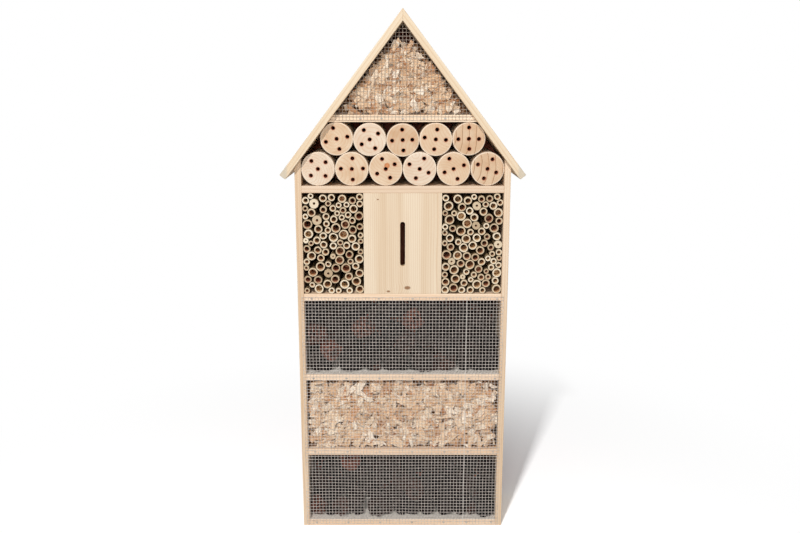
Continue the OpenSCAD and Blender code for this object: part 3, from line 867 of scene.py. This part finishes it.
def chip_shapes(count, seed):
    """Chips from short blocks to long slivers."""
    draw = random.Random(seed)
    made = []
    for k in range(count):
        length = draw.uniform(*CHIP_LENGTHS)
        width = min(length * draw.uniform(*CHIP_SLIMNESS), CHIP_WIDEST)
        made.append(chip_shape(length, width, draw.uniform(*CHIP_THICKNESSES), seed + k))
    return made


# How loose chips lie: their room behind the mesh, and the spread of their places, tilts and tones
MESH_ROOM = 1.5 * MM
BED_DEPTH = 0.4
TILT_SPREAD = 0.4
TONE_SPREAD = 0.32


def chip_bed(node, shapes, material, settle, each, spread, mean_tone, seed):
    """Loose chips around each of the node's solids. settle moves a chip's box into its bay, if it can."""
    draw = random.Random(seed)
    form = bmesh.new()
    form.faces.layers.float.new("tone")
    form.loops.layers.uv.new("grain")
    for corners in solids(node):
        low, high = span(corners)
        middle = (low + high) / 2
        for _ in range(each):
            step = Vector([draw.uniform(-spread, spread) for _ in range(3)])
            step.y *= BED_DEPTH
            roll = Matrix.Rotation(draw.uniform(0, math.tau), 4, "Z")
            forward = math.pi / 2 + draw.gauss(0, TILT_SPREAD)
            tilt = Euler((forward, 0, draw.gauss(0, TILT_SPREAD))).to_matrix().to_4x4()
            turn = tilt @ roll
            shape = draw.choice(shapes)
            tone = min(max(draw.gauss(mean_tone, TONE_SPREAD), 0), 1)
            reach_low, reach_high = span([turn @ vert.co for vert in shape.vertices])
            centre = middle + step
            centre.y = max(centre.y, front_y + MESH_ROOM - reach_low.y)
            push = settle(centre + reach_low, centre + reach_high)
            if push is not None:
                scattered(form, shape, Matrix.Translation(centre + push) @ turn, tone)
    return piece(node + "_split", form, [material], node, smooth=False)


# The heap's relief, with its lumps and its grit counted per metre
HEAP_CUTS = 30
HEAP_RELIEF = 7 * MM
HEAP_LUMPS, HEAP_GRIT = 90, 260
FACING_DOWN = -0.5


def chip_heap(node, material):
    """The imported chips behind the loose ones, broken up everywhere but on the shelf that they lie on."""
    form = merged(node)
    join_flat(form)
    bmesh.ops.subdivide_edges(form, edges=form.edges, cuts=HEAP_CUTS, use_grid_fill=True)
    form.normal_update()
    inward = {vert: -vert.normal for vert in form.verts if vert.normal.z > FACING_DOWN}
    for vert, way in inward.items():
        uneven = noise.noise(vert.co * HEAP_LUMPS) + noise.noise(vert.co * HEAP_GRIT)
        vert.co += way * (HEAP_RELIEF * min(max((1 + uneven) / 2, 0), 1))
    return piece(node + "_heaped", form, [material], node, smooth=False)


def into_bay(low, high):
    """The push that brings a box between the side boards and on to the lower shelf."""
    if high.z > chip_ceiling:
        return None
    aside = max(-inner_half - low.x, 0) + min(inner_half - high.x, 0)
    return Vector((aside, 0, max(chip_floor - low.z, 0)))


def into_gable(low, high):
    """The push that brings a box on to the gable shelf and under both roof boards."""
    lift = max(gable_floor - low.z, 0)
    half = (inner_ridge - high.z - lift) / math.tan(roof_turn)
    if high.x - low.x > 2 * half:
        return None
    return Vector((max(-half - low.x, 0) + min(half - high.x, 0), 0, lift))


# Nail heads
NAIL_SIDES = 14
NAIL_HEAD = 0.5 * MM
NAIL_TAPER = 0.82


def nail_heads(node, out, material):
    """Flat nail heads, a little proud of the wood. out gives the way a nail at some place points."""
    form = bmesh.new()
    for corners in solids(node):
        low, high = span(corners)
        way = out((low + high) / 2)
        top = max(c.dot(way) for c in corners)
        rim = [c for c in corners if c.dot(way) > top - WELD]
        rim_low, rim_high = span(rim)
        centre = (rim_low + rim_high) / 2
        radius = max((c - centre).length for c in rim)
        turn = way.to_track_quat("Z", "Y").to_matrix().to_4x4()
        bmesh.ops.create_cone(
            form, cap_ends=True, segments=NAIL_SIDES, radius1=radius, radius2=radius * NAIL_TAPER,
            depth=NAIL_HEAD, matrix=Matrix.Translation(centre) @ turn)
    return piece(node + "_struck", form, [material], node)


# Boards, each kind with a pale and a tan tone

ROOF_FIR = rgb(231, 213, 187), rgb(221, 199, 168)
BARE_FIR = rgb(223, 199, 174), rgb(211, 184, 154)
GABLE_FIR = rgb(250, 230, 204), rgb(242, 216, 186)
SHELF_FIR = rgb(241, 217, 190), rgb(230, 200, 168)
FRONT_FIR = rgb(226, 208, 183), rgb(215, 192, 163)
SIDE_FIR = rgb(228, 206, 180), rgb(212, 184, 152)
ALONG_X, ALONG_Z = 0.0, math.pi / 2
# Shelves whose up-facing faces get painted light
TOP_LIT_SHELVES = ("bottom_board", "middle_shelf")
SHELF_TONES = {"log_shelf": BARE_FIR, "gable_shelf": GABLE_FIR}

for i, node in enumerate(SHELVES):
    tones = SHELF_TONES.get(node, SHELF_FIR)
    planed_board(node, fir(node, ALONG_X, tones, seed=10 + i, lit_tops=node in TOP_LIT_SHELVES))
for i, side in enumerate(SIDES):
    board = f"{side}_side_board"
    planed_board(board, fir(board, ALONG_Z, SIDE_FIR, seed=20 + i))
    board = f"{side}_partition"
    planed_board(board, fir(board, ALONG_Z, SHELF_FIR, seed=30 + i))
    board = f"{side}_roof_board"
    slope = -roof_turn if side == "right" else roof_turn
    planed_board(board, fir(board, slope, ROOF_FIR, seed=40 + i, grey_eave=True))
planed_board("back_panel", plywood())

# Two knots low on the butterfly front and one near its top
front_low, front_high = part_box("butterfly_front")
front_knots = [
    (9 * MM, front_low.z + 12 * MM, 4.5 * MM),
    (-27 * MM, front_low.z + 5 * MM, 2.6 * MM),
    (-46 * MM, front_high.z - 12 * MM, 1.6 * MM)]
slotted_board("butterfly_front", fir("butterfly_front", ALONG_Z, FRONT_FIR, seed=51, knots=front_knots))

# Logs, each kind with a pale and a tan tone

PALE_LOG = rgb(224, 207, 186), rgb(213, 188, 163)
TAN_LOG = rgb(219, 195, 167), rgb(207, 176, 143)
AMBER_LOG = rgb(210, 183, 153), rgb(198, 163, 129)
LOWER_TONES = [PALE_LOG, TAN_LOG, TAN_LOG, PALE_LOG, TAN_LOG, AMBER_LOG]
UPPER_TONES = [TAN_LOG, PALE_LOG, AMBER_LOG, TAN_LOG, AMBER_LOG]
LOG_KNOTS = {"log_lower_3": (2.4 * MM, 6 * MM)}
LOG_HEARTS = 4 * MM, 55 * MM
BOLD_HEART = (-70 * MM, 8 * MM)
BOLD_LOGS = ("log_upper_5", "log_lower_6")

for i, (node, tones) in enumerate(zip(LOGS, LOWER_TONES + UPPER_TONES)):
    draw = random.Random(60 + i)
    far = draw.uniform(*LOG_HEARTS)
    way = draw.uniform(0, math.tau)
    bold = node in BOLD_LOGS
    heart = BOLD_HEART if bold else (far * math.cos(way), far * math.sin(way))
    dress(node, log_end(node, heart, tones, seed=70 + i, knot=LOG_KNOTS.get(node), bold=bold))

# Fillings

cane_finishes = [cane_skin(), cane_end(), cane_bore()]
for i, node in enumerate(CANE_COURSES):
    cane_course(node, cane_finishes, seed=100 + i)

scale_finish = cone_scale()
full_cones = [cone_shape(scales=58, sides=6, seed=200 + k) for k in range(4)]
plain_cones = [cone_shape(scales=22, sides=4, seed=210 + k) for k in range(2)]
cone_bays = {"lower": ("bottom_board", "lower_shelf"), "upper": ("middle_shelf", "bamboo_shelf")}
for i, (bay, (under, over)) in enumerate(cone_bays.items()):
    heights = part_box(under)[1].z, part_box(over)[0].z
    cone_layer(f"{bay}_cones_front", full_cones, scale_finish, *heights, seed=220 + i, small=13)
    cone_layer(f"{bay}_cones_middle", plain_cones, scale_finish, *heights, seed=230 + i)
    cone_layer(f"{bay}_cones_back", plain_cones, scale_finish, *heights, seed=240 + i)

chip_finish = chip_wood()
chips = chip_shapes(count=28, seed=300)
chip_bed("middle_chips", chips, chip_finish, into_bay, each=5, spread=9 * MM, mean_tone=0.64, seed=331)
chip_bed("gable_chips", chips, chip_finish, into_gable, each=9, spread=17 * MM, mean_tone=0.56, seed=332)
packed_finish = packed_chips()
for node in ("middle_chip_fill", "gable_chip_fill"):
    chip_heap(node, packed_finish)

# Wire and fasteners, with the mesh's bends drawn from a seed of their own

noise.seed_set(401)
wire_finish = zinc("zinc_wire", rgb(213, 202, 193), metallic=0.15)
wire_net("lower_mesh", wire_finish)
wire_net("mesh_strip", wire_finish)
# The gable's wires take a darker copy of the zinc: painted shade under the roof's overhang
wire_net("gable_mesh", zinc("shaded_zinc_wire", rgb(182, 167, 152), metallic=0.25))
fastener_finish = zinc("zinc_fasteners", rgb(188, 186, 184), metallic=0.6)
dress("mesh_staples", fastener_finish)


def out_of_side(at):
    return Vector((math.copysign(1, at.x), 0, 0))


def out_of_roof(at):
    return Vector((math.copysign(math.sin(roof_turn), at.x), 0, math.cos(roof_turn)))


def out_of_back(at):
    return Vector((0, 1, 0))


nail_heads("shelf_nails", out_of_side, fastener_finish)
nail_heads("roof_nails", out_of_roof, fastener_finish)
nail_heads("back_nails", out_of_back, fastener_finish)

# Stage, light and camera

FLOOR_REACH = 8.0
FLOOR_GREY = (0.9, 0.9, 0.9, 1.0)
PAPER = (1.5, 1.5, 1.5, 1.0)
PAPER_FADE = 0.2, 1.1
WHITE = (1.0, 1.0, 1.0, 1.0)
AMBIENT = 0.22
HOUSE_MIDDLE = Vector((0, 0, 0.5))


def background_rays(shading):
    """1 for the rays that show the background, straight or mirrored."""
    kinds = ("Camera", "Glossy", "Transmission")
    return highest([shading.node("LightPath", output=f"Is {kind} Ray") for kind in kinds])


def white_floor():
    """A white floor. The camera sees it as bright paper that keeps the shadow and fades to plain white."""
    finish = Finish("white_floor", roughness=1.0, specular=0.0)
    finish.shader.inputs["Base Color"].default_value = FLOOR_GREY
    lit = Signal(finish, finish.shader.outputs[0])
    paper = finish.node("BsdfDiffuse", {}, {"Color": PAPER})
    glow = finish.node("Emission", {}, {"Color": WHITE, "Strength": 1.0})
    away = finish.distance(finish.point(), (0, 0, 0))
    shown = finish.node("MixShader", {}, {0: finish.mask(away, *PAPER_FADE), 1: paper, 2: glow})
    mixed = finish.node("MixShader", {}, {0: background_rays(finish), 1: lit, 2: shown})
    finish.tree.links.new(mixed.socket, finish.tree.nodes["Material Output"].inputs["Surface"])
    return finish.material


floor_form = bmesh.new()
bmesh.ops.create_grid(floor_form, x_segments=1, y_segments=1, size=FLOOR_REACH)
floor_mesh = shape_mesh("floor", floor_form)
floor_mesh.materials.append(white_floor())
floor = bpy.data.objects.new("floor", floor_mesh)
bpy.context.scene.collection.objects.link(floor)

world = bpy.data.worlds.new("studio")
world.use_nodes = True
bpy.context.scene.world = world
studio = Shading(world.node_tree)
backdrop = studio.node("Background", {}, {"Color": WHITE, "Strength": 1.0})
ambient = studio.node("Background", {}, {"Color": WHITE, "Strength": AMBIENT})
sky = studio.node("MixShader", {}, {0: background_rays(studio), 1: ambient, 2: backdrop})
world.node_tree.links.new(sky.socket, world.node_tree.nodes["World Output"].inputs["Surface"])


def soft_light(name, azimuth, elevation, distance, size, watts):
    """A square lamp aimed at the middle of the house. Azimuth 0 is in front, and positive is right."""
    around, above = math.radians(azimuth), math.radians(elevation)
    level = math.cos(above)
    away = Vector((math.sin(around) * level, -math.cos(around) * level, math.sin(above)))
    lamp = bpy.data.lights.new(name, "AREA")
    lamp.size = size
    lamp.energy = watts
    made = bpy.data.objects.new(name, lamp)
    made.location = HOUSE_MIDDLE + away * distance
    made.rotation_euler = away.to_track_quat("Z", "Y").to_euler()
    bpy.context.scene.collection.objects.link(made)
    return made


soft_light("key", azimuth=-17, elevation=43, distance=7.0, size=0.35, watts=310)
soft_light("fill", azimuth=-4, elevation=14, distance=4.0, size=1.0, watts=36)
rear = soft_light("rear", azimuth=160, elevation=24, distance=4.0, size=1.5, watts=42)

# The rear lamp lights the house alone, so that the shadow on the floor stays that of the key
unlit_by_rear = bpy.data.collections.new("unlit_by_rear")
unlit_by_rear.objects.link(floor)
rear.light_linking.receiver_collection = unlit_by_rear
unlit_by_rear.collection_objects[0].light_linking.link_state = "EXCLUDE"

SENSOR_WIDTH = 36
LENS = 36.54
CAMERA_PLACE = Vector((-0.005, -1.556, 0.860))
CAMERA_PITCH = math.radians(12.27)
camera_data = bpy.data.cameras.new("camera")
camera_data.sensor_width = SENSOR_WIDTH
camera_data.lens = LENS
camera = bpy.data.objects.new("camera", camera_data)
camera.location = CAMERA_PLACE
camera.rotation_euler = (math.pi / 2 - CAMERA_PITCH, 0, 0)
bpy.context.scene.collection.objects.link(camera)
bpy.context.scene.camera = camera
bpy.context.scene.view_settings.view_transform = "Standard"
